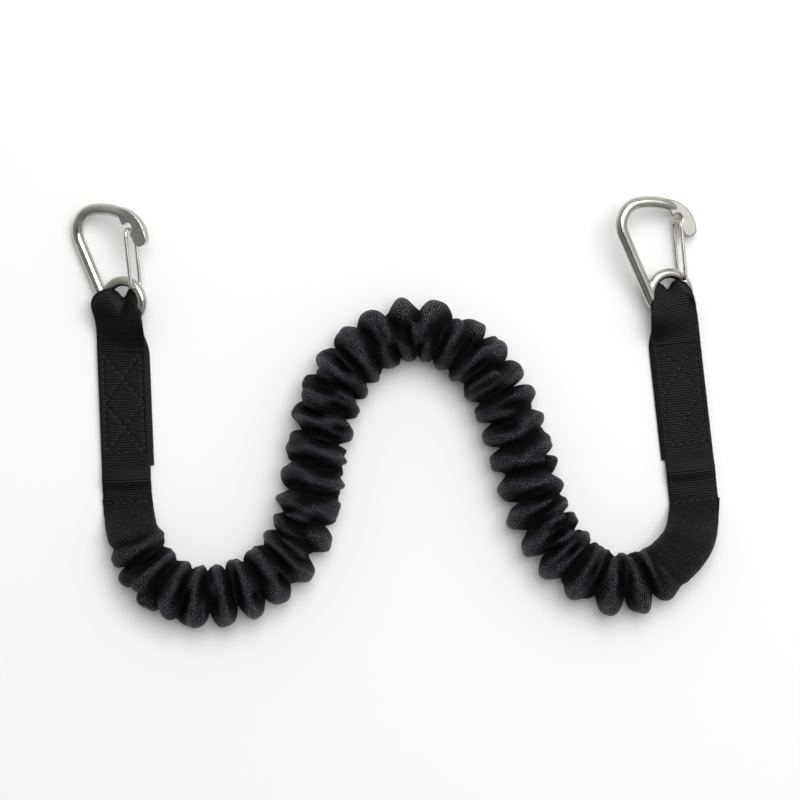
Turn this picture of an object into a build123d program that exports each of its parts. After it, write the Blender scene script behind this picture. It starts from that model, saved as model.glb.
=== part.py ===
from build123d import *
import math
import os

# Shock absorbing lanyard, millimetres, +Z up, lying on a flat surface at Z = 0.
# Two flat straps end in a wire-gate carabiner each.  Between the straps runs a soft tubular
# sleeve that is gathered over a shorter, stretchy shock cord.

# ---------------------------------------------------------------- driving dimensions
WEB_WIDTH = 25.0            # strap webbing
WEB_THICK = 1.4

ROD_R = 3.0                 # carabiner body, 6 mm round stock
EYE_ROD_R = 2.6             # the same stock, drawn down where it is rolled into the eye
EYE_R = 10.4                # centre line of the eye
SPINE_ANGLE = 115.0         # direction of the straight spine, degrees from the carabiner's +X
SPINE_LENGTH = 38.0
CORNER_R = 11.5             # bend from the spine into the top
TOP_R = 40.0                # long shallow bend over the top
CORNER_END = 8.0            # heading at which the corner bend gives way to the top bend, degrees
TOP_END = -9.0              # heading at which the round stock gives way to the flattened nose
NOSE_THICK = 4.4

WIRE_R = 1.0                # gate wire
WIRE_SPREAD = 5.0           # each leg's distance from the carabiner's middle plane
PIVOT_ANGLE = 48.0          # place of the gate's pivot on the eye, degrees
GATE_TOP = (3.9, 37.2)      # where the wire rests in the nose's notch
PIVOT_PLAY = 0.06           # radial clearance of the wire in its cross hole
WIRE_END = 0.6              # gap from the middle plane to each wire end inside the hole

LOOP_INNER_R = 5.5          # strap loop round the eye
LOOP_R = LOOP_INNER_R + WEB_THICK
LOOP_NECK = 3.8             # half width of the bunched webbing inside the eye
LOOP_NECK_END = -7.0        # where it starts to widen again, measured from the loop's axis
LOOP_FULL = -18.0           # where it is full width again
LOOP_CLOSE = -14.0          # where the two plies meet
TAIL_END = -74.0            # end of the folded-back ply
STRAP_END = -94.0           # edge of the sleeve's mouth

STITCH_TOP = -16.0          # box of reinforcing stitches
STITCH_BOTTOM = -67.0
STITCH_HALF_WIDTH = 9.8
THREAD_WIDTH = 0.9
THREAD_THICK = 0.35

SLEEVE_WIDTH = 27.0         # mean outside size of the gathered sleeve
SLEEVE_HEIGHT = 24.0
SLEEVE_CORNER = 10.0
CAVITY_WIDTH = 18.0
CAVITY_HEIGHT = 16.0
CAVITY_CORNER = 4.0
SLEEVE_WALL = 0.9           # flat, ungathered fabric
MOUTH_WIDTH = 27.6
MOUTH_HEIGHT = 4.2
MOUTH_CORNER = 2.0
MOUTH_FLAT = 5.0            # length of the sewn flat hem

CORD_R = 4.5                # shock cord over its braided cover
CORE_R = 3.7                # rubber core
COVER_GAP = 0.1
CORD_Z = 2 * WEB_THICK + 0.15 + CORD_R
TONGUE_HALF = 5.4           # half width of the strap's tapered tongue inside the sleeve
TONGUE_REACH = 12.0         # how far the tongue follows the cord
BINDING_START = 2.0
BINDING_LENGTH = 8.0

# Route of the sleeve from the left strap to the right one, chosen by hand.
ROUTE = [
    (-132, -69.5), (-123, -84.5), (-105.5, -94.5), (-83.5, -93.5), (-62.5, -82), (-50, -65),
    (-44.5, -47), (-39, -15), (-33, 5), (-21.5, 23.5), (-2, 36.5), (18.5, 37.5), (38.5, 25.5),
    (51.5, 8.5), (60, -12.5), (68.5, -40.5), (75.5, -59), (89.5, -77.5), (109, -88.5),
    (131, -85.5), (144, -73.5), (150.5, -60.5),
]

# Each end: place of the strap loop's axis, the strap's turn in plan, how far the eye sits from
# the strap's middle, and how the carabiner lies: rolled about its length, pitched up from the loop.
ENDS = {
    "left": {"loop": (-141.45, 43.9), "turn": 2.3, "eye_shift": 2.3, "roll": -24.0, "pitch": 9.1},
    "right": {"loop": (141.5, 48.15), "turn": 6.5, "eye_shift": -2.1, "roll": 18.0, "pitch": 3.5},
}


# ---------------------------------------------------------------- helpers
def direction(degrees):
    """Unit vector in the XY plane at an angle from +X."""
    angle = math.radians(degrees)
    return Vector(math.cos(angle), math.sin(angle))


def upright_plane(point, heading, height):
    """Plane across a level path: its X is level and its Y is up."""
    ahead = direction(heading)
    across = Vector(-ahead.Y, ahead.X)
    return Plane(origin=(point[0], point[1], height), x_dir=across, z_dir=ahead)


def corner_radii(points):
    """The largest even arc at each corner: 0.45 of the shorter run over tan(half the turn)."""
    vectors = [Vector(*b) - Vector(*a) for a, b in zip(points, points[1:])]
    radii = []
    for before, after in zip(vectors, vectors[1:]):
        half_turn = math.radians(before.get_angle(after)) / 2
        radii.append(0.45 * min(before.length, after.length) / math.tan(half_turn))
    return radii


def heading_of(a, b):
    """Heading in degrees of the run from a to b."""
    return math.degrees(math.atan2(b[1] - a[1], b[0] - a[0]))


def route_path(height):
    """The sleeve's route at one height, as runs joined by tangent arcs."""
    points = [(x, y, height) for x, y in ROUTE]
    return FilletPolyline(*points, radius=corner_radii(ROUTE))


def route_sweep(section, height):
    """A solid of one section along the whole route."""
    return sweep(upright_plane(ROUTE[0], heading_of(*ROUTE[:2]), height) * section, route_path(height))


# ---------------------------------------------------------------- carabiner, in its own frame
# Origin at the eye's centre, +Y towards the top, the spine on the left and the gate on the right.
def pivot_point():
    """Centre of the gate's cross hole, on the eye's centre line."""
    return direction(PIVOT_ANGLE) * EYE_R


def body_path():
    """Centre line from the eye's tangent point, up the spine and over the top."""
    up_spine = direction(SPINE_ANGLE)
    inward = direction(SPINE_ANGLE - 90)
    foot = inward * -EYE_R
    spine_top = foot + up_spine * SPINE_LENGTH
    corner_centre = spine_top + inward * CORNER_R
    corner_end = corner_centre + direction(90 + CORNER_END) * CORNER_R
    corner_middle = corner_centre + direction((SPINE_ANGLE + CORNER_END) / 2 + 90) * CORNER_R
    top_centre = corner_end - direction(90 + CORNER_END) * TOP_R
    top_middle = top_centre + direction(90 + (CORNER_END + TOP_END) / 2) * TOP_R
    top_end = top_centre + direction(90 + TOP_END) * TOP_R
    spine = Line(foot, spine_top)
    corner = ThreePointArc(spine_top, corner_middle, corner_end)
    top = ThreePointArc(corner_end, top_middle, top_end)
    return foot, Wire([spine, corner, top])


def nose_plate():
    """Flattened nose: round outside, blunt tip, and a notch with a tooth for the gate wire."""
    with BuildSketch() as outline:
        with BuildLine():
            outer = ThreePointArc((-3.2, 48.3), (9.1, 43.2), (14.1, 32.4))
            tip = ThreePointArc(outer @ 1, (11.8, 29.0), (7.6, 29.4))
            lip = Line(tip @ 1, (5.0, 34.2))
            throat = Line(lip @ 1, (5.3, 36.4))
            notch = ThreePointArc(throat @ 1, (5.0, 40.0), (1.3, 39.3))
            tooth = Line(notch @ 1, (0.5, 39.2))
            step = Polyline(tooth @ 1, (-2.4, 44.6), (-7.0, 45.2), (-7.0, 47.6), outer @ 0)
        make_face()
    return extrude(outline.sketch, NOSE_THICK / 2, both=True)


def carabiner_body():
    """Eye, spine, top and flattened nose in one forged piece, with the gate's cross hole."""
    foot, path = body_path()
    start = Plane(origin=foot, z_dir=direction(SPINE_ANGLE))
    rod = sweep(start * Circle(ROD_R), path)
    eye = Torus(EYE_R, EYE_ROD_R)
    body = rod + Pos(*foot) * Sphere(ROD_R) + eye + nose_plate()
    hole = Pos(*pivot_point()) * Cylinder(WIRE_R + PIVOT_PLAY, 4 * EYE_ROD_R)
    return body - hole


def wire_gate():
    """One bent wire: two legs that straddle the body, joined by a bow at the nose."""
    pivot = pivot_point()
    low = (pivot.X, pivot.Y)
    points = [
        (*low, WIRE_END), (*low, WIRE_SPREAD), (*GATE_TOP, WIRE_SPREAD),
        (*GATE_TOP, -WIRE_SPREAD), (*low, -WIRE_SPREAD), (*low, -WIRE_END),
    ]
    path = FilletPolyline(*points, radius=[1.6, 3.2, 3.2, 1.6])
    return sweep(Plane(origin=points[0], z_dir=(0, 0, 1)) * Circle(WIRE_R), path)


def carabiner_place(end):
    """Where a carabiner lies: its eye's lowest arc on the strap loop's axis."""
    x, y = end["loop"]
    turn = end["turn"]
    eye = Vector(x, y) + direction(turn) * end["eye_shift"]
    loop_axis = Location((eye.X, eye.Y, LOOP_R))
    lie = Location((0, 0, 0), (1, 0, 0), end["pitch"]) * Location((0, 0, 0), (0, 1, 0), end["roll"])
    return loop_axis * lie * Pos(0, EYE_R, 0)


# ---------------------------------------------------------------- strap, in its own frame
# Origin on the floor under the loop's axis, the strap running along -Y.
def tangent_point(radius, point):
    """Point where a line from a given point touches the loop's circle on its upper side."""
    centre = Vector(0, LOOP_R)
    away = Vector(*point) - centre
    angle = math.degrees(math.atan2(away.Y, away.X))
    spread = math.degrees(math.acos(radius / away.length))
    return centre + direction(angle - spread) * radius


def loop_profile(radius, floor, close):
    """Teardrop in the (along, up) plane: a circle drawn out to the point where the plies meet."""
    touch = tangent_point(radius, close)
    with BuildSketch() as profile:
        with BuildLine():
            base = Line((close[0], floor), (0, floor))
            bend = ThreePointArc(base @ 1, (radius, LOOP_R), touch)
            slope = Line(bend @ 1, close)
            if close[1] > floor:
                Line(slope @ 1, base @ 0)
        make_face()
    return profile.sketch


def strap_loop(shift):
    """The folded end round the eye, bunched narrow inside it."""
    side = Plane(origin=(0, 0, 0), x_dir=(0, 1, 0), z_dir=(1, 0, 0))
    outer = loop_profile(LOOP_R, 0, (LOOP_CLOSE, 2 * WEB_THICK))
    inner = loop_profile(LOOP_INNER_R, WEB_THICK, (LOOP_CLOSE, WEB_THICK))
    block = extrude(side * (outer - inner), WEB_WIDTH, both=True)
    half = WEB_WIDTH / 2
    plan = Polygon(
        (shift - LOOP_NECK, 2 * LOOP_R), (shift - LOOP_NECK, LOOP_NECK_END), (-half, LOOP_FULL),
        (half, LOOP_FULL), (shift + LOOP_NECK, LOOP_NECK_END), (shift + LOOP_NECK, 2 * LOOP_R),
        align=None,
    )
    return block & extrude(plan, 4 * LOOP_R)


def tongue(end_name):
    """The strap's end inside the sleeve: it tapers, then follows the cord's first run."""
    points = ROUTE[:2] if end_name == "left" else ROUTE[:-3:-1]
    heading = heading_of(*points)
    ahead = direction(heading)
    across = Vector(-ahead.Y, ahead.X) * TONGUE_HALF
    start = Vector(*points[0])
    tip = start + ahead * TONGUE_REACH
    back = strap_place(ENDS[end_name]).inverse()
    corners = (start - across, tip - across, tip + across, start + across)
    return [(back * Pos(*p)).position for p in corners]


def strap_place(end):
    """Where a strap lies: loop axis over the given point, turned in plan."""
    return Location((*end["loop"], 0), (0, 0, 1), end["turn"])


def end_strap(end_name):
    """One length of webbing: tongue, front ply, loop and folded-back ply."""
    half = WEB_WIDTH / 2
    under = Pos(0, (LOOP_CLOSE + TAIL_END) / 2, WEB_THICK / 2)
    back_ply = under * Box(WEB_WIDTH, LOOP_CLOSE - TAIL_END, WEB_THICK)
    ends = [(p.X, p.Y) for p in tongue(end_name)]
    outline = Polygon(
        (-half, LOOP_CLOSE), (-half, STRAP_END - MOUTH_FLAT), *ends, (half, STRAP_END - MOUTH_FLAT),
        (half, LOOP_CLOSE), align=None,
    )
    front_ply = Pos(0, 0, WEB_THICK) * extrude(outline, WEB_THICK)
    narrow = Pos(0, (LOOP_CLOSE + LOOP_FULL) / 2, 0) * Box(4 * half, LOOP_CLOSE - LOOP_FULL, 9 * WEB_THICK)
    plan = Polygon(
        (-half, LOOP_FULL), (half, LOOP_FULL), (half * 0.84, LOOP_CLOSE), (-half * 0.84, LOOP_CLOSE),
        align=None,
    )
    plies = back_ply + front_ply
    plies = (plies - narrow) + (plies & narrow & extrude(plan, 4 * WEB_THICK))
    return plies + strap_loop(ENDS[end_name]["eye_shift"])


def thread_bar(a, b):
    """One row of stitches as a thin raised bar on the strap's face."""
    run = Vector(*b) - Vector(*a)
    middle = (Vector(*a) + Vector(*b)) / 2
    height = 2 * WEB_THICK + THREAD_THICK / 2
    place = Location((middle.X, middle.Y, height), (0, 0, 1), heading_of(a, b))
    return place * Box(run.length + THREAD_WIDTH, THREAD_WIDTH, THREAD_THICK)


def box_stitching():
    """A long box of stitches with two crosses, one above the other."""
    w, top, bottom = STITCH_HALF_WIDTH, STITCH_TOP, STITCH_BOTTOM
    middle = (top + bottom) / 2
    rows = [
        ((-w, top), (w, top)), ((-w, bottom), (w, bottom)),
        ((-w, top), (-w, bottom)), ((w, top), (w, bottom)),
        ((-w, top), (w, middle)), ((w, top), (-w, middle)),
        ((-w, middle), (w, bottom)), ((w, middle), (-w, bottom)),
    ]
    bars = [thread_bar(a, b) for a, b in rows]
    return bars[0].fuse(*bars[1:])


# ---------------------------------------------------------------- sleeve and what it holds
def mouth(end_name, hollow):
    """The sewn flat hem and the stretch where it opens into the round sleeve."""
    end = ENDS[end_name]
    points = ROUTE[:2] if end_name == "left" else ROUTE[:-3:-1]
    place = strap_place(end)
    edge = tuple((place * Pos(0, STRAP_END, 0)).position)
    hem = tuple((place * Pos(0, STRAP_END - MOUTH_FLAT, 0)).position)
    strap_heading = end["turn"] - 90
    if hollow:
        gap = SLEEVE_WALL
        flat = RectangleRounded(MOUTH_WIDTH - 2 * gap, MOUTH_HEIGHT - 2 * gap, MOUTH_CORNER - gap)
        full = RectangleRounded(CAVITY_WIDTH, CAVITY_HEIGHT, CAVITY_CORNER)
        full_z = SLEEVE_WALL + CAVITY_HEIGHT / 2
    else:
        flat = RectangleRounded(MOUTH_WIDTH, MOUTH_HEIGHT, MOUTH_CORNER)
        full = RectangleRounded(SLEEVE_WIDTH, SLEEVE_HEIGHT, SLEEVE_CORNER)
        full_z = SLEEVE_HEIGHT / 2
    flat_z = MOUTH_HEIGHT / 2
    hem_flat = extrude(upright_plane(edge, strap_heading, flat_z) * flat, MOUTH_FLAT)
    opening = loft([
        upright_plane(hem, strap_heading, flat_z) * flat,
        upright_plane(points[0], heading_of(*points), full_z) * full,
    ], ruled=True)
    return hem_flat + opening


def sleeve():
    """Tubular sleeve: a gathered tube with a flat sewn mouth at each end."""
    outer = route_sweep(RectangleRounded(SLEEVE_WIDTH, SLEEVE_HEIGHT, SLEEVE_CORNER), SLEEVE_HEIGHT / 2)
    cavity_z = SLEEVE_WALL + CAVITY_HEIGHT / 2
    cavity = route_sweep(RectangleRounded(CAVITY_WIDTH, CAVITY_HEIGHT, CAVITY_CORNER), cavity_z)
    shell = outer + mouth("left", False) + mouth("right", False)
    return shell - cavity - mouth("left", True) - mouth("right", True)


def sleeve_seam(end_name):
    """Row of stitches that closes the hem onto the strap."""
    place = strap_place(ENDS[end_name])
    height = MOUTH_HEIGHT + THREAD_THICK / 2
    bar = Box(MOUTH_WIDTH - 2 * MOUTH_CORNER, THREAD_WIDTH, THREAD_THICK)
    return place * Pos(0, STRAP_END - MOUTH_FLAT / 2, height) * bar


def core_binding(end_name):
    """Thread seizing that ties the shock cord's end to the strap's tongue."""
    points = ROUTE[:2] if end_name == "left" else ROUTE[:-3:-1]
    heading = heading_of(*points)
    start = Vector(*points[0]) + direction(heading) * BINDING_START
    low = WEB_THICK - 0.3
    high = CORD_Z + CORD_R + 0.9
    plane = upright_plane((start.X, start.Y), heading, (low + high) / 2)
    outside = RectangleRounded(2 * TONGUE_HALF + 2.4, high - low, 3)
    inside = Rectangle(2 * TONGUE_HALF + 0.4, high - low - 0.5)
    return extrude(plane * (outside - inside), BINDING_LENGTH)


# ---------------------------------------------------------------- the assembly
nodes = {"sleeve": sleeve()}
for name, end in ENDS.items():
    nodes["carabiner_body_" + name] = carabiner_place(end) * carabiner_body()
    nodes["wire_gate_" + name] = carabiner_place(end) * wire_gate()
    nodes["end_strap_" + name] = strap_place(end) * end_strap(name)
    nodes["box_stitching_" + name] = strap_place(end) * box_stitching()
    nodes["sleeve_seam_" + name] = sleeve_seam(name)
    nodes["core_binding_" + name] = core_binding(name)
nodes["shock_cord_rubber"] = route_sweep(Circle(CORE_R), CORD_Z)
nodes["shock_cord_cover"] = route_sweep(Circle(CORD_R) - Circle(CORE_R + COVER_GAP), CORD_Z)

os.makedirs("parts", exist_ok=True)
for name, shape in nodes.items():
    export_step(shape, "parts/" + name + ".step")

# ---------------------------------------------------------------- figures for the maker
path = route_path(CORD_Z)
print("radii", [round(r, 1) for r in corner_radii(ROUTE)])
print("route length", round(path.length, 1))
print("cord volume", round(nodes["shock_cord_rubber"].volume), "section x length",
      round(math.pi * CORE_R ** 2 * path.length))
for name, end in ENDS.items():
    place = carabiner_place(end)
    for label, point in (("eye arc", (0, -EYE_R, 0)), ("pivot", tuple(pivot_point()))):
        where = (place * Pos(*point)).position
        print(name, label, [round(v, 3) for v in where])
    z_axis = (place * Pos(0, 0, 1)).position - place.position
    print(name, "gate axis", [round(v, 5) for v in z_axis])
whole = Compound(list(nodes.values())).bounding_box()
print("low", whole.min, "high", whole.max, "centre", whole.center())
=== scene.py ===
# %% [markdown]
# # A shock absorbing lanyard
#
# A soft tube of woven nylon is pushed up into gathers over a shorter stretchy cord. Each end of
# the tube is sewn to a flat strap, and each strap is folded round the eye of a small steel
# carabiner with a wire gate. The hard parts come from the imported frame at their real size. The
# soft parts are modelled here, round the same places, in metres.

# %% Load the frame
import math

import bmesh
import bpy
import numpy as np
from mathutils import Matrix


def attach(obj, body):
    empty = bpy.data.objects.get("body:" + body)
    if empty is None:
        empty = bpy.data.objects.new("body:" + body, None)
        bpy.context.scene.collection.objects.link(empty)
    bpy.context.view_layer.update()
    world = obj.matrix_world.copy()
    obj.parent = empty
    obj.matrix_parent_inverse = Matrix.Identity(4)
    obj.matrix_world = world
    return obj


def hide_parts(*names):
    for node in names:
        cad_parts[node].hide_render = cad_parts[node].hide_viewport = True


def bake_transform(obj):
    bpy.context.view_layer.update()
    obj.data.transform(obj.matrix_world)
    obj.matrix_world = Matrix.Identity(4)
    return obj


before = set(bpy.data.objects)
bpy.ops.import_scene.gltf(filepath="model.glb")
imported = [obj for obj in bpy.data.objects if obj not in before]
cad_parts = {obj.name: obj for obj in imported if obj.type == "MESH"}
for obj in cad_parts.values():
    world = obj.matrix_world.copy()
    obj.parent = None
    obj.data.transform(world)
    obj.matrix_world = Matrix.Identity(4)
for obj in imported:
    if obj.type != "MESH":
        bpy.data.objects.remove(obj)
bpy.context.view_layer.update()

MM = 0.001
SIDES = ("left", "right")

# %% [markdown]
# ## Small tools
#
# Every new piece is a grid of points worked out with numpy. One function turns such a grid into
# a mesh and gives it a UV map in millimetres, so that a weave can follow the cloth.


# %% Grid to mesh
def grid_object(name, points, uv, closed=True, caps=True, ridge=None):
    """Object from a grid of points: row after row of the surface, each row a ring if closed.
    A quad joins each point to the next in its row and to the same two in the next row. A cap is a
    fan of triangles from the mean of an end row."""
    rows, columns = points.shape[:2]
    index = np.arange(rows * columns).reshape(rows, columns)
    nxt = np.roll(index, -1, axis=1)
    if not closed:
        index, nxt = index[:, :-1], nxt[:, :-1]
    quads = np.stack([index[:-1], nxt[:-1], nxt[1:], index[1:]], axis=-1).reshape(-1, 4)
    vertices = points.reshape(-1, 3)
    u_of = uv.reshape(-1, 2)
    faces = quads.tolist()
    if caps and closed:
        ring = np.arange(columns)
        first, last = rows * columns, rows * columns + 1
        vertices = np.vstack([vertices, points[0].mean(axis=0), points[-1].mean(axis=0)])
        u_of = np.vstack([u_of, uv[0].mean(axis=0), uv[-1].mean(axis=0)])
        low = np.stack([np.roll(ring, -1), ring, np.full(columns, first)], axis=1)
        top = ring + (rows - 1) * columns
        high = np.stack([top, np.roll(top, -1), np.full(columns, last)], axis=1)
        faces += low.tolist() + high.tolist()
    mesh = bpy.data.meshes.new(name)
    mesh.from_pydata(vertices.tolist(), [], faces)
    corners = np.empty(len(mesh.loops), dtype=np.int32)
    mesh.loops.foreach_get("vertex_index", corners)
    layer = mesh.uv_layers.new(name="cloth")
    layer.data.foreach_set("uv", u_of[corners].astype(np.float32).ravel())
    mesh.polygons.foreach_set("use_smooth", np.ones(len(mesh.polygons), dtype=bool))
    # A fold height, if given, is stored on the points as the attribute ridge. The sleeve's finish
    # paints shade and highlight into its colour from it.
    if ridge is not None:
        values = np.concatenate([ridge.ravel(), np.full(len(vertices) - ridge.size, 0.5)])
        layer = mesh.attributes.new("ridge", "FLOAT", "POINT")
        layer.data.foreach_set("value", values.astype(np.float32))
    mesh.update()
    piece = bpy.data.objects.new(name, mesh)
    bpy.context.scene.collection.objects.link(piece)
    print(name, len(mesh.vertices), "points", len(mesh.polygons), "faces")
    return piece


def smooth_step(value, low, high):
    """0 below low, 1 above high, and the curve 3t^2 - 2t^3 between them."""
    t = np.clip((value - low) / (high - low), 0, 1)
    return t * t * (3 - 2 * t)


def drift(along, around, wavelength, turns, seed, count=7):
    """Smooth random field, about -1 to 1: a sum of cosines whose wavelength along the piece is
    near the given one and which go a whole number of times round it."""
    rng = np.random.default_rng(seed)
    total = 0
    for _ in range(count):
        frequency = 2 * math.pi / (wavelength * rng.uniform(0.7, 1.5))
        wraps = rng.integers(0, turns + 1) * rng.choice([-1, 1])
        total = total + np.cos(frequency * along + wraps * around + rng.uniform(0, 2 * math.pi))
    return total / math.sqrt(count)


# %% [markdown]
# ## Camera
#
# The lanyard lies flat and is seen from straight above, so the camera looks straight down. It
# stands far off with a long lens, which keeps the tall folds from leaning outwards. The lens is
# worked out from the width of floor it has to show, because that is easier to judge than an angle.

# %% Camera
VIEW_WIDTH = 0.408
CAMERA_HEIGHT = 1.6
MID_HEIGHT = 0.01
SENSOR = 36.0
view_centre = (0.0018, 0.0039)

camera_data = bpy.data.cameras.new("camera")
camera_data.sensor_width = SENSOR
camera_data.lens = SENSOR * (CAMERA_HEIGHT - MID_HEIGHT) / VIEW_WIDTH
camera = bpy.data.objects.new("camera", camera_data)
camera.location = (*view_centre, CAMERA_HEIGHT)
bpy.context.scene.collection.objects.link(camera)
bpy.context.scene.camera = camera
print("camera", camera.location[:], "lens", round(camera_data.lens, 1))

# %% [markdown]
# ## The sleeve's line
#
# The route is the one that the hard model was built on: a short list of points, and a smooth
# spline that uses them as its control points. The first and the last are the sleeve's mouths.

# %% Route spline
ROUTE = [
    (-138, -45.8), (-136.6, -59),
    (-132, -69.5), (-123, -84.5), (-105.5, -94.5), (-83.5, -93.5), (-62.5, -82), (-50, -65),
    (-44.5, -47), (-39, -15), (-33, 5), (-21.5, 23.5), (-2, 36.5), (18.5, 37.5), (38.5, 25.5),
    (51.5, 8.5), (60, -12.5), (68.5, -40.5), (75.5, -59), (89.5, -77.5), (109, -88.5),
    (131, -85.5), (145, -74.5), (152, -61.5), (153, -45.3),
]


def spline_points(name, points, height, resolution):
    """Points along the smooth spline of order 3 that a list of control points gives."""
    data = bpy.data.curves.new(name, "CURVE")
    data.dimensions = "3D"
    data.resolution_u = resolution
    spline = data.splines.new("NURBS")
    spline.points.add(len(points) - 1)
    control = np.array([(x * MM, y * MM, height, 1) for x, y in points], dtype=np.float32)
    spline.points.foreach_set("co", control.ravel())
    spline.order_u = 3
    spline.use_endpoint_u = True
    curve = bpy.data.objects.new(name, data)
    bpy.context.scene.collection.objects.link(curve)
    mesh = bpy.data.meshes.new_from_object(curve)
    line = np.empty(len(mesh.vertices) * 3, dtype=np.float32)
    mesh.vertices.foreach_get("co", line)
    bpy.data.objects.remove(curve)
    bpy.data.meshes.remove(mesh)
    return line.reshape(-1, 3).astype(float)


def even_line(line, step):
    """The same line with points a fixed step apart, and its distance at each."""
    gaps = np.linalg.norm(np.diff(line, axis=0), axis=1)
    distance = np.concatenate([[0], np.cumsum(gaps)])
    count = int(round(distance[-1] / step)) + 1
    at = np.linspace(0, distance[-1], count)
    return np.stack([np.interp(at, distance, line[:, k]) for k in range(3)], axis=1), at


SLEEVE_STEP = 0.6 * MM
route_line, route_at = even_line(spline_points("route", ROUTE, 0, 24), SLEEVE_STEP)

# %% [markdown]
# ## Sleeve
#
# The tube is much longer than the cord inside it, so the cloth stands up in folds. Each fold is
# a rounded lobe, with a narrow crease before the next. On the outside of a bend the folds fan
# out and stand tall, and on the inside they crowd together and are shallow. They don't run
# straight across: most slant, and some split in two before they reach the other side.
#
# The folds are a train of waves. Many waves of nearly the same length are added as complex
# numbers, so the angle of the sum numbers the folds and its size tells how clear they are. Where
# the sum passes through zero a fold ends between two others, which is a natural split.

# %% Sleeve surface
SLEEVE_HALF_WIDTH = 13.7
SLEEVE_HALF_HEIGHT = 11.4
MOUTH_HALF_WIDTH = 13.2
SEAM_INSET = 0.4
MOUTH_HALF_HEIGHT = 2.1
FOLD_PITCH = 14.4
FOLD_DEPTH = 7.6
ROUND_FROM = 0.78
ROUND_OVER = 0.32
FOLD_WRAPS = (-3, -2, -2, -1, 1, 2, 2, 3)
SMALL_WRAPS = (-3, -2, -1, 1, 2, 3)
AROUND = 120
BEND_SCALE = 25.0
CROWDING = 0.14
GATHER_STARTS = (15.0, 36.0)


def side_of(line):
    """Unit vectors to the left of a level line: its direction turned a quarter turn."""
    ahead = np.gradient(line, axis=0)
    ahead /= np.linalg.norm(ahead, axis=1, keepdims=True)
    return ahead, np.stack([-ahead[:, 1], ahead[:, 0], np.zeros(len(line))], axis=1)


def bend_of(ahead, at, reach):
    """Signed curvature, positive where the line turns left, averaged over a reach."""
    heading = np.unwrap(np.arctan2(ahead[:, 1], ahead[:, 0]))
    curvature = np.gradient(heading, at)
    width = int(reach / (at[1] - at[0])) | 1
    window = np.hanning(width + 2)[1:-1]
    return np.convolve(np.pad(curvature, width // 2, mode="edge"), window / window.sum(), "valid")


def wave_train(along, around, pitch, carrier, spread, wraps, seed, count=14):
    """Angle and size of a sum of waves: one steady wave across the sleeve, and a number of weaker
    ones whose length differs by the spread and which go a whole number of times round."""
    rng = np.random.default_rng(seed)
    total = carrier * np.exp(2j * math.pi * along / pitch) + 0 * around
    for turns in rng.choice(wraps, count):
        frequency = 2 * math.pi / pitch * (1 + spread * rng.uniform(-1, 1))
        start = rng.uniform(0, 2 * math.pi)
        total = total + np.exp(1j * (frequency * along + turns * around + start)) / math.sqrt(count)
    return np.angle(total), np.abs(total)


def fold_height(along, around, seed=5):
    """Height of the gathers, from 0 in a crease to about 1 on a fold, and the push along.
    The height is (1 + cos angle) / 2 to a power: below 1 at the sides, where the folds are round
    fingers, and above 1 on top, where they are ridges with wide hollows between them. Folds half
    as long ride on the first ones here and there. What stands above ROUND_FROM is pressed down
    by a tanh, so no fold ends in a spike. The push along is sin angle, which makes the folds
    lean over their creases."""
    angle, size = wave_train(along, around, FOLD_PITCH, 0.85, 0.22, FOLD_WRAPS, seed)
    clear = np.tanh(1.7 * size)
    main = ((1 + np.cos(angle)) / 2) ** (0.8 + 0.5 * np.sin(around) ** 2)
    short = FOLD_PITCH / 2.1
    second, second_size = wave_train(along, around, short, 0.2, 0.3, SMALL_WRAPS, seed + 1)
    small = np.cos(second) * np.clip(second_size - 0.3, 0, 1.2)
    height = 0.5 + clear * (main - 0.5) + 0.42 * small * (0.2 + 0.8 * np.sin(around) ** 2)
    over = np.maximum(height - ROUND_FROM, 0)
    height = np.minimum(height, ROUND_FROM) + ROUND_OVER * np.tanh(over / ROUND_OVER)
    return height, clear * np.sin(angle)


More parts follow.
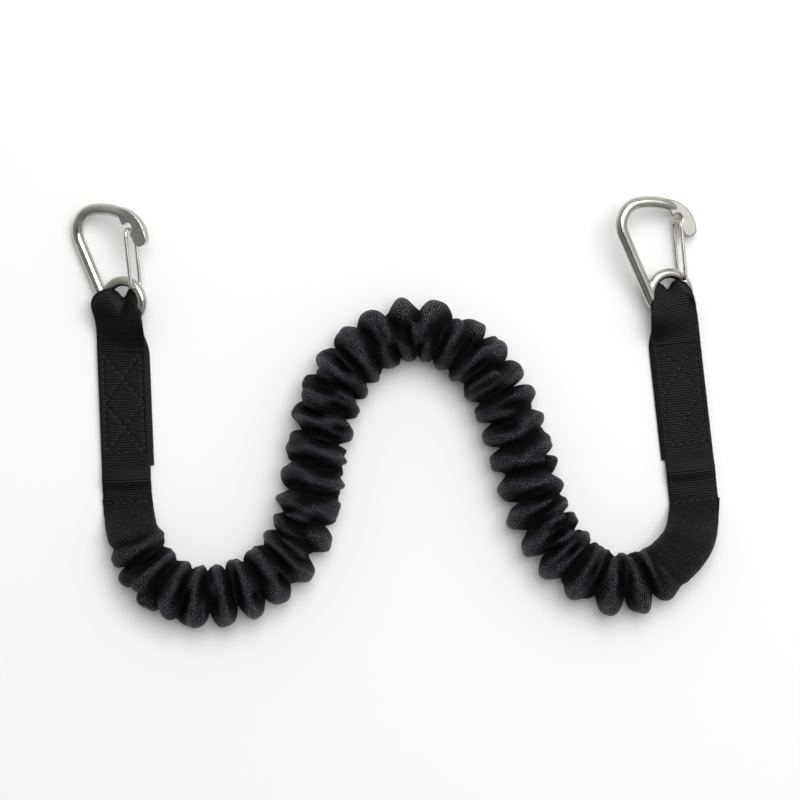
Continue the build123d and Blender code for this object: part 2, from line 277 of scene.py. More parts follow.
def sleeve_points(line, at):
    """The sleeve: at each ring a rounded section, half width times cos and half height times sin,
    moved outwards by the folds. The folds' depth grows on the outside of a bend."""
    ahead, side = side_of(line)
    along = (at / MM)[:, None]
    around = np.linspace(0, 2 * math.pi, AROUND, endpoint=False)[None, :]
    total = at[-1] / MM
    from_end = np.minimum(along, total - along)
    opened = smooth_step(from_end, 3, 23)
    starts = np.where(along < total / 2, GATHER_STARTS[0], GATHER_STARTS[1])
    gathered = smooth_step(from_end - starts, 0, 20)
    half_width = MOUTH_HALF_WIDTH + (SLEEVE_HALF_WIDTH - MOUTH_HALF_WIDTH) * opened
    half_height = MOUTH_HALF_HEIGHT + (SLEEVE_HALF_HEIGHT - MOUTH_HALF_HEIGHT) * opened
    cosine, sine = np.cos(around), np.sin(around)
    bend = bend_of(ahead, at, 24 * MM)[:, None] / BEND_SCALE
    outside = -bend * cosine
    fan = np.clip(1.08 + 0.25 * outside + 0.5 * np.minimum(outside, 0), 0.35, 1.4)
    depth = FOLD_DEPTH * fan * gathered
    crowded = along + CROWDING * np.cumsum(np.abs(bend), axis=0) * (at[1] - at[0]) / MM
    height, push = fold_height(crowded, around)
    fine = 0.19 * drift(along, around, 2.6, 4, 41, 12) + 0.6 * drift(along, around, 4.8, 3, 42, 9)
    outward = depth * (height - 0.5) + fine * (0.2 + 0.8 * gathered) * (0.35 + 0.65 * sine ** 2)
    across = (half_width - SEAM_INSET + outward + 0.9 * outside * gathered) * cosine
    upward = half_height + (half_height + outward) * sine
    upward = np.where(upward < 0.5, 0.5 + 0.06 * (upward - 0.5), upward)
    slide = 1.1 * push * gathered * (0.4 + 0.6 * cosine ** 2) * (1 + 0.5 * outside)
    place = line[:, None, :] + side[:, None, :] * (across * MM)[..., None]
    place = place + ahead[:, None, :] * (slide * MM)[..., None]
    place[..., 2] = upward * MM
    uv = np.stack([np.broadcast_to(along * 1.8, across.shape),
                   np.broadcast_to(around / (2 * math.pi) * 78, across.shape)], axis=-1)
    # The third value is the fold height, 0.6 on flat cloth. The finish uses it for painted shade in
    # the creases and painted highlight on the ridges.
    return place, uv, height * gathered + 0.6 * (1 - gathered)


points, uv, ridge = sleeve_points(route_line, route_at)
sleeve = grid_object("sleeve_gathered", points, uv, ridge=ridge)
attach(sleeve, "lanyard")
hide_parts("sleeve")
print("sleeve box", np.round(points.min(axis=(0, 1)), 4), np.round(points.max(axis=(0, 1)), 4))

# %% [markdown]
# ## End straps
#
# Each strap is 25 mm ribbed webbing. It comes out of the sleeve's mouth, lies flat, climbs over
# the lowest arc of the carabiner's eye, is bunched where it goes down through the eye, and comes
# back underneath as a second ply that ends before the mouth. It is one sheet: a centre surface
# given by two parameters, the distance along the webbing and the place across it, and a
# thickness laid on both sides of that surface along its normal.

# %% Strap sizes
WEB_HALF = 12.5
WEB_THICK = 1.4
RIB_PITCH = 1.3
RIB_HEIGHT = 0.2
TAIL_END = -74.0
HEAD_START = -20.0
HEAD_END = -25.0
STRAP_INSIDE = -100.0
HUMP_PLACE = -81.0
HUMP_HEIGHT = 2.4
HUMP_HALF = 4.2
BACK_HEIGHT = WEB_THICK / 2 + RIB_HEIGHT
FRONT_HEIGHT = BACK_HEIGHT + WEB_THICK + 0.15
PLACES = {
    "left": {
        "loop": (-141.45, 43.9), "turn": 2.3, "eye": 2.3, "tilt": 0.42,
        "tail": 1.7, "notch": 0.1, "hem": -92.6, "pitch": 9.1, "roll": -24.0,
        "tip_x": (-13.6, -12.9, -8.6, -2.2, 3.2, 6.0, 8.4, 10.6, 10.9),
        "tip_y": (8.8, 13.4, 16.4, 16.6, 8.6, 16.9, 17.2, 13.8, 7.6),
    },
    "right": {
        "loop": (141.5, 48.15), "turn": 6.5, "eye": -2.1, "tilt": -0.32,
        "tail": -1.6, "notch": -0.02, "hem": -96.4, "pitch": 3.5, "roll": 18.0,
        "tip_x": (-10.8, -10.2, -8.0, -4.4, -1.8, 2.4, 6.0, 9.2, 10.6),
        "tip_y": (7.2, 13.4, 16.0, 15.4, 9.6, 16.6, 15.8, 12.8, 7.8),
    },
}
ACROSS = np.array([-1, -0.8, -0.5, -0.2, 0.1, 0.35, 0.6, 0.85, 1])
STITCH_BOX = {"half": 9.8, "top": -16.0, "bottom": -67.0}
print("webbing", 2 * WEB_HALF, "wide, plies at", BACK_HEIGHT, "and", round(FRONT_HEIGHT, 2))
GROOVE_HALF = 0.6
GROOVE_DEPTH = 0.42


def stitch_rows():
    """The rows of the reinforcing stitches: a long box and two crosses, end to end."""
    half, top, bottom = STITCH_BOX["half"], STITCH_BOX["top"], STITCH_BOX["bottom"]
    middle = (top + bottom) / 2
    return [
        ((-half, top), (half, top)), ((half, bottom), (-half, bottom)),
        ((-half, bottom), (-half, top)), ((half, top), (half, bottom)),
        ((-half, top), (half, middle)), ((half, top), (-half, middle)),
        ((-half, middle), (half, bottom)), ((half, middle), (-half, bottom)),
    ]


def row_distance(x, y, row):
    """Distance in the plane from points to a straight row of stitches."""
    (ax, ay), (bx, by) = row
    length2 = (bx - ax) ** 2 + (by - ay) ** 2
    t = np.clip(((x - ax) * (bx - ax) + (y - ay) * (by - ay)) / length2, 0, 1)
    return np.hypot(x - ax - t * (bx - ax), y - ay - t * (by - ay))


def on_strap(points, place):
    """From a strap's own frame to the row frame: turned in plan, then moved to its loop."""
    angle = math.radians(place["turn"])
    cos, sin = math.cos(angle), math.sin(angle)
    turn = np.array([[cos, -sin, 0], [sin, cos, 0], [0, 0, 1]])
    return (points @ turn.T + np.array([*place["loop"], 0])) * MM


# %% Smooth net
def smooth_net(net, samples):
    """Cubic B-spline along the first axis of a net of points: every point of the result is the
    mean of four neighbours, weighted (1-t)^3, 3t^3-6t^2+4, 1+3t+3t^2-3t^3 and t^3, over six."""
    padded = np.concatenate([2 * net[:1] - net[1:2], net, 2 * net[-1:] - net[-2:-1]])
    at = np.clip(np.linspace(0, len(net) - 1, samples), 0, len(net) - 1.000001)
    first = np.floor(at).astype(int)
    t = (at - first)[:, None, None]
    weights = (
        (1 - t) ** 3,
        3 * t ** 3 - 6 * t ** 2 + 4,
        1 + 3 * t + 3 * t ** 2 - 3 * t ** 3,
        t ** 3,
    )
    return sum(w * padded[first + k] for k, w in enumerate(weights)) / 6


def strap_head(place, columns):
    """The bunched part of the webbing as a net of guide rows, smoothed both ways. In order: the
    back ply, narrowed as it passes under the eye's lowest arc; up through the hole; the rim of
    the two lobes, given by the place's tips; and back over the arc, tilted as the eye is, down
    to where the front ply lies flat."""
    u, tilt, eye = ACROSS, place["tilt"], place["eye"]
    tip_x, tip_y = np.array(place["tip_x"]), np.array(place["tip_y"])
    hole = 5.6 * u + eye
    dip = np.exp(-((u - place["notch"]) / 0.16) ** 2)
    slope = tilt * (tip_x - eye)
    flat = 0 * u
    rows = [
        (WEB_HALF * u + place["tail"], flat + HEAD_START, flat + BACK_HEIGHT),
        (WEB_HALF * u + place["tail"], flat - 14, flat + BACK_HEIGHT),
        (10.6 * u + place["tail"] * 0.6, flat - 7, flat + BACK_HEIGHT),
        (7.2 * u + eye * 0.8, flat, flat + BACK_HEIGHT),
        (hole, flat + 4.5, flat + BACK_HEIGHT + 0.5),
        (0.8 * hole + 0.2 * tip_x, 0.75 * tip_y, flat + 3.4),
        (0.5 * hole + 0.5 * tip_x, tip_y - 0.4, 5.4 + 0.2 * slope),
        (tip_x, tip_y + 0.5, 8.2 - dip),
        (tip_x, tip_y - 1.2, 11.2 - 0.15 * slope - 1.6 * dip),
        (0.6 * tip_x + 0.4 * WEB_HALF * u, 0.55 * tip_y, 12.4 + 0.3 * slope - 2.4 * dip),
        (0.2 * tip_x + 0.78 * WEB_HALF * u, flat + 1, 12.2 + slope - 1.6 * dip),
        (0.98 * WEB_HALF * u, flat - 6, 8.6 + 0.75 * slope - 0.7 * dip),
        (WEB_HALF * u, flat - 12, 4.0 + 0.2 * slope - 0.3 * dip),
        (WEB_HALF * u, flat - 18, flat + FRONT_HEIGHT + 0.1),
        (WEB_HALF * u, flat + HEAD_END, flat + FRONT_HEIGHT),
    ]
    net = np.array([np.stack(row, axis=-1) for row in rows])
    long_way = smooth_net(net, 360)
    even = smooth_net(long_way.transpose(1, 0, 2), 200).transpose(1, 0, 2)
    spread = smooth_net(ACROSS[:, None, None], 200)[:, 0, 0]
    pick = np.interp(columns, spread, np.arange(200))
    low = np.floor(pick).astype(int).clip(0, 198)
    part = (pick - low)[None, :, None]
    return even[:, low] * (1 - part) + even[:, low + 1] * part


# %% Strap surface
def strap_middle(place, u):
    """Centre surface of the webbing, row after row along it, u from -1 to 1 across it: the flat
    back ply, the bunched head, and the front ply, which rises in one low hump before the mouth."""
    back = np.arange(TAIL_END, HEAD_START, 0.3)[:, None]
    front = np.arange(HEAD_END, STRAP_INSIDE, -0.3)[:, None]
    flat = 0 * u
    back_across = WEB_HALF * u + place["tail"] + 0 * back
    back_ply = np.stack([back_across, back + flat, BACK_HEIGHT + 0 * back + flat], axis=-1)
    hump = HUMP_HEIGHT * np.exp(-((front - HUMP_PLACE) / HUMP_HALF) ** 2) * (1 - 0.3 * u ** 2)
    height = FRONT_HEIGHT - 0.5 * (1 - smooth_step(front, -90, TAIL_END)) + hump
    front_ply = np.stack([WEB_HALF * u + 0 * front, front + flat, height + flat], axis=-1)
    return np.concatenate([back_ply[:-1], strap_head(place, u[0]), front_ply[1:]])


def strap_points(place):
    """Both faces of the webbing: the centre surface moved half a thickness along its normal.
    Ribs are a cosine along the webbing, and a row of stitches presses a groove into the face."""
    u = np.sin(np.linspace(-1, 1, 34) * math.radians(80))[None, :] / math.sin(math.radians(80))
    middle = strap_middle(place, u)
    along = np.gradient(middle, axis=0)
    across = np.gradient(middle, axis=1)
    normal = np.cross(along, across)
    normal /= np.maximum(np.linalg.norm(normal, axis=-1, keepdims=True), 1e-9)
    steps = np.linalg.norm(np.diff(middle, axis=0), axis=-1)
    run = np.concatenate([np.cumsum(steps[::-1], axis=0)[::-1], 0 * steps[:1]])
    wave = np.cos(2 * math.pi * run / RIB_PITCH)
    edge = smooth_step(np.abs(u), 0.9, 1)
    half = (WEB_THICK / 2 + RIB_HEIGHT * wave * (1 - 0.5 * edge)) * (1 - 0.35 * edge)
    middle[..., 0] += 0.16 * wave * edge * np.sign(u)
    on_front = run < STITCH_BOX["top"] - STRAP_INSIDE + 4
    x, y = middle[..., 0], middle[..., 1]
    groove = sum(np.exp(-(row_distance(x, y, row) / GROOVE_HALF) ** 2) for row in stitch_rows())
    dent = GROOVE_DEPTH * np.clip(groove, 0, 1) * on_front
    upper = middle + normal * (half - dent)[..., None]
    under = middle - normal * half[..., None]
    ring = np.concatenate([under, upper[:, ::-1]], axis=1)
    v = np.broadcast_to(u * WEB_HALF, middle.shape[:2])
    uv = np.concatenate([np.stack([run, v], axis=-1), np.stack([run, v], axis=-1)[:, ::-1]], axis=1)
    return on_strap(ring, place), uv


for end in SIDES:
    points, uv = strap_points(PLACES[end])
    strap = grid_object("strap_webbing_" + end, points, uv)
    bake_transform(strap)
    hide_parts("end_strap_" + end)

# %% [markdown]
# ## Stitches
#
# A stitch is a short thread that comes up, lies along the row and goes down again. One small
# spindle is worked out once, and a copy is laid at every stitch of every row.

# %% Stitch spindles
STITCH_LENGTH = 2.6
STITCH_GAP = 0.7
THREAD_R = 0.3


def spindle(rings=7, sides=8):
    """Unit stitch along X: its radius is the root of sin(pi t), and its middle stands proud."""
    t = np.linspace(0.02, 0.98, rings)[:, None]
    angle = np.linspace(0, 2 * math.pi, sides, endpoint=False)[None, :]
    radius = np.sqrt(np.sin(math.pi * t))
    x = (t - 0.5) + 0 * angle
    z = radius * np.sin(angle) + 0.4 * np.sin(math.pi * t)
    return np.stack([x, radius * np.cos(angle), z], axis=-1)


def strap_face(x):
    """Height of the flat front ply, a little below the tops of its ribs."""
    return FRONT_HEIGHT + WEB_THICK / 2 - 0.3 + 0 * x


def mouth_face(x):
    """Height of the sleeve's mouth at a place across it: half height times 1 + sin, where cos is
    x over the half width."""
    return MOUTH_HALF_HEIGHT * (1 + np.sqrt(1 - (x / (MOUTH_HALF_WIDTH - SEAM_INSET)) ** 2)) + 0.1


def stitches_object(name, rows, face, place):
    """All the stitches of some rows as one mesh: the spindle, stretched, turned and moved to
    each place by whole-array sums, and laid on a face whose height is a function of x."""
    unit = spindle()
    rings, sides = unit.shape[:2]
    centres, headings = [], []
    for (ax, ay), (bx, by) in rows:
        length = math.hypot(bx - ax, by - ay)
        count = max(1, int(length / (STITCH_LENGTH + STITCH_GAP)))
        t = ((np.arange(count) + 0.5) / count)[:, None]
        centres.append(np.array([[ax, ay]]) + t * np.array([[bx - ax, by - ay]]))
        headings.append(np.full(count, math.atan2(by - ay, bx - ax)))
    centres, headings = np.vstack(centres), np.concatenate(headings)
    flat = unit.reshape(-1, 3) * np.array([STITCH_LENGTH, THREAD_R, THREAD_R])
    cos, sin = np.cos(headings)[:, None], np.sin(headings)[:, None]
    x = centres[:, :1] + flat[:, 0] * cos - flat[:, 1] * sin
    y = centres[:, 1:] + flat[:, 0] * sin + flat[:, 1] * cos
    z = face(x) + flat[:, 2]
    vertices = on_strap(np.stack([x, y, z], axis=-1).reshape(-1, 3), place)
    index = np.arange(rings * sides).reshape(rings, sides)
    nxt = np.roll(index, -1, axis=1)
    quads = np.stack([index[:-1], index[1:], nxt[1:], nxt[:-1]], axis=-1).reshape(-1, 4)
    offsets = np.arange(len(centres)) * rings * sides
    quads = (quads[None] + offsets[:, None, None]).reshape(-1, 4)
    ends = np.stack([index[0], index[-1][::-1]])
    ends = (ends[None] + offsets[:, None, None]).reshape(-1, sides)
    mesh = bpy.data.meshes.new(name)
    mesh.from_pydata(vertices.tolist(), [], quads.tolist() + ends.tolist())
    mesh.polygons.foreach_set("use_smooth", np.ones(len(mesh.polygons), dtype=bool))
    piece = bpy.data.objects.new(name, mesh)
    bpy.context.scene.collection.objects.link(piece)
    print(name, len(centres), "stitches")
    return piece


HEM_HALF = 11.4
for end in SIDES:
    place = PLACES[end]
    box = stitches_object("box_x_stitches_" + end, stitch_rows(), strap_face, place)
    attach(box, "lanyard")
    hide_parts("box_stitching_" + end)
    hem_row = [((-HEM_HALF, place["hem"]), (HEM_HALF, place["hem"]))]
    hem = stitches_object("hem_stitches_" + end, hem_row, mouth_face, place)
    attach(hem, "lanyard")
    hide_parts("sleeve_seam_" + end)

# %% [markdown]
# ## Finishes
#
# Black cloth is hard to show: what is seen is its sheen, the sparkle of its weave and the depth
# of its creases, so each cloth has a dark base, a soft gloss and a fine weave in its bump. On the
# sleeve the sparkle and the crease shade are also painted into the base colour.

# %% Material tools
def new_material(name, **sockets):
    """A Principled material with constant values set straight on the shader's sockets."""
    material = bpy.data.materials.new(name)
    material.use_nodes = True
    shader = material.node_tree.nodes["Principled BSDF"]
    for socket, value in sockets.items():
        shader.inputs[socket.replace("_", " ")].default_value = value
    print("finish", name, sockets)
    return material, material.node_tree.nodes, material.node_tree.links, shader


def ramp(nodes, low, high, dark, light):
    """A two-stop colour ramp."""
    node = nodes.new("ShaderNodeValToRGB")
    node.color_ramp.elements[0].position = low
    node.color_ramp.elements[1].position = high
    node.color_ramp.elements[0].color = (*dark, 1)
    node.color_ramp.elements[1].color = (*light, 1)
    return node


def maths(nodes, links, operation, first, second):
    """One arithmetic node on two sockets or numbers."""
    node = nodes.new("ShaderNodeMath")
    node.operation = operation
    for slot, value in enumerate((first, second)):
        if isinstance(value, (int, float)):
            node.inputs[slot].default_value = value
        else:
            links.new(value, node.inputs[slot])
    return node.outputs[0]


def bumped(nodes, links, shader, height, strength, distance):
    """Feeds a height into the shader's normal through one Bump node."""
    bump = nodes.new("ShaderNodeBump")
    bump.inputs["Strength"].default_value = strength
    bump.inputs["Distance"].default_value = distance
    links.new(height, bump.inputs["Height"])
    links.new(bump.outputs["Normal"], shader.inputs["Normal"])


def cloth_map(nodes, links, scale, angle=0.0):
    """The piece's own UV map in millimetres, scaled and turned."""
    uv = nodes.new("ShaderNodeUVMap")
    uv.uv_map = "cloth"
    mapping = nodes.new("ShaderNodeMapping")
    mapping.inputs["Scale"].default_value = scale
    mapping.inputs["Rotation"].default_value = (0, 0, angle)
    links.new(uv.outputs["UV"], mapping.inputs["Vector"])
    return mapping.outputs["Vector"]


# %% [markdown]
# ## Sleeve cloth
#
# The sleeve is a light satin twill. Its threads lie on a slant, catch the light one by one, and
# go dull where the cloth turns down into a crease. Two crossed sets of wavy threads, broken up
# by noise, give the sparkle in the bump, and they also light up flecks of the base colour, which
# is painted sparkle. The fold height stored on the mesh makes the ridges glossy and the creases
# matt. It also lightens the base colour on the ridges and turns it black in the creases, which
# is painted highlight and painted shade.

# %% Twill finish
def sleeve_material():
    """Fine satin twill: diagonal threads about 0.9 mm apart, crossed by a weaker weft."""
    material, nodes, links, shader = new_material(
        "sleeve_twill", Roughness=0.42, Specular_IOR_Level=0.15)
    crossing = []
    for scale, angle in ((0.32, 66), (0.27, -18)):
        threads = nodes.new("ShaderNodeTexWave")
        threads.inputs["Scale"].default_value = scale
        threads.inputs["Distortion"].default_value = 5.0
        threads.inputs["Detail Scale"].default_value = 2.5
        links.new(cloth_map(nodes, links, (1, 1, 1), math.radians(angle)), threads.inputs["Vector"])
        crossing.append(threads.outputs["Fac"])
    lattice = maths(nodes, links, "MULTIPLY", *crossing)
    sparkle = nodes.new("ShaderNodeTexNoise")
    sparkle.inputs["Scale"].default_value = 1.3
    sparkle.inputs["Detail"].default_value = 2.0
    links.new(cloth_map(nodes, links, (1.2, 0.8, 1)), sparkle.inputs["Vector"])
    weave = maths(nodes, links, "MULTIPLY", lattice, sparkle.outputs["Fac"])
    # Fold height from the mesh: it sets the gloss. It also darkens the base colour in the creases
    # and lightens it on the ridges, which is painted shade and painted highlight.
    ridge_height_node = nodes.new("ShaderNodeAttribute")
    ridge_height_node.attribute_name = "ridge"
    fold_shade_and_gloss = nodes.new("ShaderNodeMapRange")
    fold_shade_and_gloss.inputs["From Min"].default_value = 0.25
    fold_shade_and_gloss.inputs["From Max"].default_value = 0.95
    fold_shade_and_gloss.inputs["To Min"].default_value = 0.05
    links.new(ridge_height_node.outputs["Fac"], fold_shade_and_gloss.inputs["Value"])
    painted_glint_and_shade = maths(nodes, links, "MULTIPLY", weave, fold_shade_and_gloss.outputs["Result"])
    # Base colour from weave and fold height: the bright grey-blue flecks on the ridges are painted
    # sparkle, and the near black in the creases is painted shade.
    tone = ramp(nodes, 0.08, 0.42, (0.0001, 0.0001, 0.0002), (0.105, 0.115, 0.145))
    links.new(painted_glint_and_shade, tone.inputs["Fac"])
    links.new(tone.outputs["Color"], shader.inputs["Base Color"])
    gloss = nodes.new("ShaderNodeMapRange")
    gloss.inputs["To Min"].default_value = 0.9
    gloss.inputs["To Max"].default_value = 0.36
    links.new(fold_shade_and_gloss.outputs["Result"], gloss.inputs["Value"])
    links.new(gloss.outputs["Result"], shader.inputs["Roughness"])
    bumped(nodes, links, shader, weave, 1.0, 0.8 * MM)
    return material


sleeve.data.materials.append(sleeve_material())


# %% [markdown]
# ## Webbing and thread
#
# Webbing is woven so tightly that it looks matt and flat, so nearly all of what shows is its
# ribs, which are real shape. The finish only adds the yarns that run along it and a little
# unevenness in the dye. The thread is waxed, so it is a shade lighter and glossier.

# %% Webbing and thread finishes
def webbing_material():
    """Matt black nylon: the ribs are in the mesh, and the bump holds the yarns that cross them."""
    material, nodes, links, shader = new_material(
        "black_webbing", Roughness=0.45, Specular_IOR_Level=0.16)
    yarn = nodes.new("ShaderNodeTexWave")
    yarn.bands_direction = "Y"
    yarn.inputs["Scale"].default_value = 0.31
    yarn.inputs["Distortion"].default_value = 0.6
    links.new(cloth_map(nodes, links, (1, 1, 1)), yarn.inputs["Vector"])
    patch = nodes.new("ShaderNodeTexNoise")
    patch.inputs["Scale"].default_value = 0.35
    patch.inputs["Detail"].default_value = 5.0
    links.new(cloth_map(nodes, links, (1, 0.4, 1)), patch.inputs["Vector"])
    tone = ramp(nodes, 0.3, 0.75, (0.0005, 0.0005, 0.0007), (0.0034, 0.0037, 0.0048))
    links.new(patch.outputs["Fac"], tone.inputs["Fac"])
    links.new(tone.outputs["Color"], shader.inputs["Base Color"])
    bumped(nodes, links, shader, yarn.outputs["Fac"], 0.6, 0.08 * MM)
    return material


def thread_material():
    """Bonded thread: a little lighter and glossier than the webbing."""
    material, nodes, links, shader = new_material("bonded_thread", Roughness=0.4)
    position = nodes.new("ShaderNodeTexCoord")
    twist = nodes.new("ShaderNodeTexNoise")
    twist.inputs["Scale"].default_value = 1600
    links.new(position.outputs["Object"], twist.inputs["Vector"])
    tone = ramp(nodes, 0.3, 0.7, (0.0015, 0.0015, 0.0018), (0.006, 0.006, 0.007))
    links.new(twist.outputs["Fac"], tone.inputs["Fac"])
    links.new(tone.outputs["Color"], shader.inputs["Base Color"])
    bumped(nodes, links, shader, twist.outputs["Fac"], 0.5, 0.1 * MM)
    return material


webbing, thread = webbing_material(), thread_material()
for end in SIDES:
    bpy.data.objects["strap_webbing_" + end].data.materials.append(webbing)
    bpy.data.objects["box_x_stitches_" + end].data.materials.append(thread)
    bpy.data.objects["hem_stitches_" + end].data.materials.append(thread)


# %% [markdown]
# ## Carabiners
#
# A body like this is bent from round bar, and its nose is pressed flat in a die, so the flat
# runs into the round with soft edges. The hard model has the right shape with sharp edges. A
# copy of it is merged, remeshed in fine voxels and smoothed, which rounds each edge by a few
# tenths of a millimetre, as tumbling does. Before that, a short neck is laid over the place where
# the round bar meets the flat nose, and it runs from the one section to the other. The wire
# gates stay as they are.

# %% Neck
EYE_R = 10.4
EYE_HEIGHT = 6.9
NECK_LINE = np.array([(-8.2, 46.6), (-4.8, 46.2), (-1.4, 45.4), (1.6, 44.2), (4.0, 42.9)])
NECK_HALF_WIDTH = np.array([3.0, 3.0, 3.0, 2.6, 1.6])
NECK_HALF_THICK = np.array([3.0, 3.0, 2.85, 2.45, 2.1])


def on_carabiner(points, place):
    """From a carabiner's own frame to the scene: moved up by the eye's radius, rolled about Y,
    pitched about X, and set down on the lowest arc of its eye."""
    turn, pitch, roll = (math.radians(place[key]) for key in ("turn", "pitch", "roll"))
    cos, sin = math.cos(roll), math.sin(roll)
    about_y = np.array([[cos, 0, sin], [0, 1, 0], [-sin, 0, cos]])
    cos, sin = math.cos(pitch), math.sin(pitch)
    about_x = np.array([[1, 0, 0], [0, cos, -sin], [0, sin, cos]])
    x, y = place["loop"]
    shift = place["eye"]
    eye = np.array([x + shift * math.cos(turn), y + shift * math.sin(turn), EYE_HEIGHT])
    return ((points + np.array([0, EYE_R, 0])) @ (about_x @ about_y).T + eye) * MM


def neck_mesh(place):
    """The neck: a ring at each place of a smooth line, half width times cos to its side and half
    thickness times sin upwards. Both shrink along the line, so it sinks into the nose."""
    sizes = np.stack([NECK_HALF_WIDTH, NECK_HALF_THICK], axis=1)
    guide = smooth_net(np.concatenate([NECK_LINE, sizes], axis=1)[:, None, :], 24)[:, 0]
    line = np.concatenate([guide[:, :2], np.zeros((len(guide), 1))], axis=1)
    side = side_of(line)[1]
    angle = np.linspace(0, 2 * math.pi, 32, endpoint=False)[None, :, None]
    rings = line[:, None] + guide[:, 2, None, None] * np.cos(angle) * side[:, None]
    rings = rings + guide[:, 3, None, None] * np.sin(angle) * np.array([0, 0, 1])
    piece = grid_object("neck", on_carabiner(rings, place), rings[..., :2])
    mesh = piece.data
    bpy.data.objects.remove(piece)
    return mesh


# %% Softened edges
VOXEL = 0.3 * MM


def forged_copy(name, node, place, rounds):
    """A copy of a hard piece with soft edges: joined with its neck, merged, remeshed on a cubic
    grid, and every point moved a number of times halfway to the mean of its neighbours."""
    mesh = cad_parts[node].data.copy()
    mesh.materials.clear()
    neck = neck_mesh(place)
    both = bmesh.new()
    both.from_mesh(mesh)
    both.from_mesh(neck)
    both.to_mesh(mesh)
    both.free()
    bpy.data.meshes.remove(neck)
    piece = bpy.data.objects.new(name, mesh)
    bpy.context.scene.collection.objects.link(piece)
    weld = piece.modifiers.new("weld", "WELD")
    weld.merge_threshold = 0.005 * MM
    grid = piece.modifiers.new("grid", "REMESH")
    grid.mode = "VOXEL"
    grid.voxel_size = VOXEL
    smooth = piece.modifiers.new("smooth", "SMOOTH")
    smooth.factor = 0.5
    smooth.iterations = rounds
    bpy.context.view_layer.update()
    shown = piece.evaluated_get(bpy.context.evaluated_depsgraph_get())
    finished = bpy.data.meshes.new_from_object(shown)
    piece.modifiers.clear()
    piece.data = finished
    bpy.data.meshes.remove(mesh)
    finished.polygons.foreach_set("use_smooth", np.ones(len(finished.polygons), dtype=bool))
    print(name, len(finished.polygons), "faces")
    return piece


# %% [markdown]
# ## Steel
#
# Tumbled stainless steel is a mirror that has been dulled a little. Most of its look comes from
# what it reflects, so the colour stays plain and noise only clouds the gloss and adds scratches.

# %% Steel finishes
def steel_material(name, base, roughness, brushed):
    """Tumbled stainless steel: metallic, with fine scratches and faint clouding in its gloss."""
    material, nodes, links, shader = new_material(name, Metallic=1.0, Roughness=roughness)
    shader.inputs["Base Color"].default_value = (*base, 1)
    position = nodes.new("ShaderNodeTexCoord")
    cloud = nodes.new("ShaderNodeTexNoise")
    cloud.inputs["Scale"].default_value = 140
    cloud.inputs["Detail"].default_value = 6
    links.new(position.outputs["Object"], cloud.inputs["Vector"])
    gloss = nodes.new("ShaderNodeMapRange")
    gloss.inputs["To Min"].default_value = roughness * 0.5
    gloss.inputs["To Max"].default_value = roughness * 1.7
    links.new(cloud.outputs["Fac"], gloss.inputs["Value"])
    links.new(gloss.outputs["Result"], shader.inputs["Roughness"])
    tint = ramp(nodes, 0.35, 0.7, tuple(0.8 * c for c in base), base)
    links.new(cloud.outputs["Fac"], tint.inputs["Fac"])
    links.new(tint.outputs["Color"], shader.inputs["Base Color"])
    scratch = nodes.new("ShaderNodeTexNoise")
    scratch.inputs["Scale"].default_value = 900
    links.new(position.outputs["Object"], scratch.inputs["Vector"])
    bumped(nodes, links, shader, scratch.outputs["Fac"], brushed, 0.03 * MM)
    return material


BODY_TONE = (0.55, 0.535, 0.49)
WIRE_TONE = (0.66, 0.64, 0.59)
SMOOTHING_ROUNDS = 17
body_steel = steel_material("polished_steel", BODY_TONE, 0.15, 0.16)
wire_steel = steel_material("spring_wire", WIRE_TONE, 0.15, 0.15)
for end in SIDES:
    node = "carabiner_body_" + end
    body = forged_copy("forged_body_" + end, node, PLACES[end], SMOOTHING_ROUNDS)
    body.data.materials.append(body_steel)
    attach(body, "carabiner_" + end)
    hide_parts(node)
    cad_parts["wire_gate_" + end].data.materials[0] = wire_steel

# %% [markdown]
# ## Inside the sleeve
#
# The core is a bundle of rubber in a braided cover, tied off with thread at both ends. It hardly
# shows, but a part that is opened up should still look right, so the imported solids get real
# finishes too: dull rubber with a faint bloom, a braid of crossed yarns, and the binding thread.
# Their patterns sit on object coordinates, since these solids have no map of their own.

# %% Core finishes
def rubber_material():
    """Dull black rubber: a slow noise clouds its tone and its gloss."""
    material, nodes, links, shader = new_material("core_rubber_bloom", Roughness=0.6)
    position = nodes.new("ShaderNodeTexCoord")
    bloom = nodes.new("ShaderNodeTexNoise")
    bloom.inputs["Scale"].default_value = 260
    bloom.inputs["Detail"].default_value = 4
    links.new(position.outputs["Object"], bloom.inputs["Vector"])
    tone = ramp(nodes, 0.35, 0.7, (0.004, 0.004, 0.004), (0.02, 0.02, 0.019))
    links.new(bloom.outputs["Fac"], tone.inputs["Fac"])
    links.new(tone.outputs["Color"], shader.inputs["Base Color"])
    bumped(nodes, links, shader, bloom.outputs["Fac"], 0.3, 0.1 * MM)
    return material


def braid_material():
    """Braided cover: two sets of yarns, 1.2 mm apart, that cross at right angles."""
    material, nodes, links, shader = new_material("core_braid", Roughness=0.55)
    position = nodes.new("ShaderNodeTexCoord")
    sets = []
    for angle in (45, -45):
        turned = nodes.new("ShaderNodeMapping")
        turned.inputs["Rotation"].default_value = (0, 0, math.radians(angle))
        links.new(position.outputs["Object"], turned.inputs["Vector"])
        yarns = nodes.new("ShaderNodeTexWave")
        yarns.inputs["Scale"].default_value = 260
        links.new(turned.outputs["Vector"], yarns.inputs["Vector"])
        sets.append(yarns.outputs["Fac"])
    braid = maths(nodes, links, "MULTIPLY", *sets)
    tone = ramp(nodes, 0.1, 0.8, (0.003, 0.003, 0.004), (0.03, 0.032, 0.038))
    links.new(braid, tone.inputs["Fac"])
    links.new(tone.outputs["Color"], shader.inputs["Base Color"])
    bumped(nodes, links, shader, braid, 0.7, 0.3 * MM)
    return material


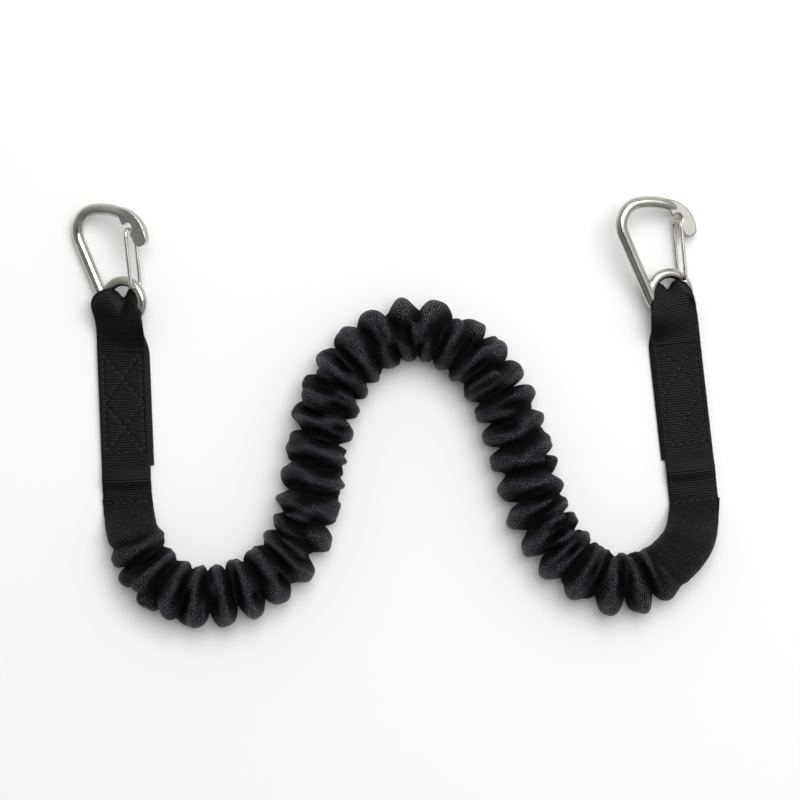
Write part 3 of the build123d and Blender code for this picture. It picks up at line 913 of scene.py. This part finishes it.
core_finishes = {"shock_cord_rubber": rubber_material(), "shock_cord_cover": braid_material()}
core_finishes |= {"core_binding_" + end: thread for end in SIDES}
for node, finish in core_finishes.items():
    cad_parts[node].data.materials[0] = finish
    print(node, "finished in", finish.name)

# %% [markdown]
# ## Floor and light
#
# Black cloth on a pale floor needs care: a hard light would burn the floor out before the cloth
# shows anything. One very large soft light high up on the far side gives the folds a lit side and
# keeps their shadows short and faint. A small one from the right puts an edge on the steel. The
# sky is a gradient with a dark spot overhead, because polished steel shows whatever is above it.

# %% Stage
FLOOR_REACH = 3.0
floor_corners = np.array([(-1, -1, 0), (1, -1, 0), (1, 1, 0), (-1, 1, 0)]) * FLOOR_REACH
floor_mesh = bpy.data.meshes.new("floor")
floor_mesh.from_pydata(floor_corners.tolist(), [], [(0, 1, 2, 3)])
floor = bpy.data.objects.new("floor", floor_mesh)
bpy.context.scene.collection.objects.link(floor)
paper, _, _, paper_shader = new_material("pale_paper", Roughness=0.9, Specular_IOR_Level=0.1)
paper_shader.inputs["Base Color"].default_value = (0.86, 0.86, 0.855, 1)
floor_mesh.materials.append(paper)


def soft_light(name, place, aim, size, power):
    """A square area light at a place, turned to aim at a point."""
    data = bpy.data.lights.new(name, "AREA")
    data.size = size
    data.energy = power
    light = bpy.data.objects.new(name, data)
    bpy.context.scene.collection.objects.link(light)
    way = np.array(aim) - np.array(place)
    light.location = place
    yaw = math.atan2(way[1], way[0])
    pitch = math.acos(-way[2] / np.linalg.norm(way))
    light.rotation_euler = (pitch, 0, yaw - math.pi / 2)
    print(name, "light", power, "W", size, "m wide")
    return light


soft_light("key", (0.45, 0.8, 2.1), (0, 0, 0), 1.9, 50)
soft_light("side", (1.25, 0.3, 1.6), (0.15, 0.1, 0), 0.9, 2.4)

world = bpy.data.worlds.new("studio")
bpy.context.scene.world = world
world.use_nodes = True
sky_nodes, sky_links = world.node_tree.nodes, world.node_tree.links
toward = sky_nodes.new("ShaderNodeTexCoord")
bright = sky_nodes.new("ShaderNodeVectorMath")
bright.operation = "DOT_PRODUCT"
bright.inputs[1].default_value = (0.15, 0.25, 0)
sky_links.new(toward.outputs["Generated"], bright.inputs[0])
parts = sky_nodes.new("ShaderNodeSeparateXYZ")
sky_links.new(toward.outputs["Generated"], parts.inputs[0])
overhead = sky_nodes.new("ShaderNodeMapRange")
overhead.inputs["From Min"].default_value = 0.8
overhead.inputs["From Max"].default_value = 0.95
overhead.inputs["To Min"].default_value = 1.0
overhead.inputs["To Max"].default_value = 0.2
sky_links.new(parts.outputs["Z"], overhead.inputs["Value"])
level = maths(sky_nodes, sky_links, "ADD", bright.outputs["Value"], 0.5)
level = maths(sky_nodes, sky_links, "MULTIPLY", level, overhead.outputs["Result"])
sky_links.new(level, sky_nodes["Background"].inputs["Strength"])
sky_nodes["Background"].inputs["Color"].default_value = (1, 1, 1, 1)
bpy.context.scene.view_settings.view_transform = "Standard"
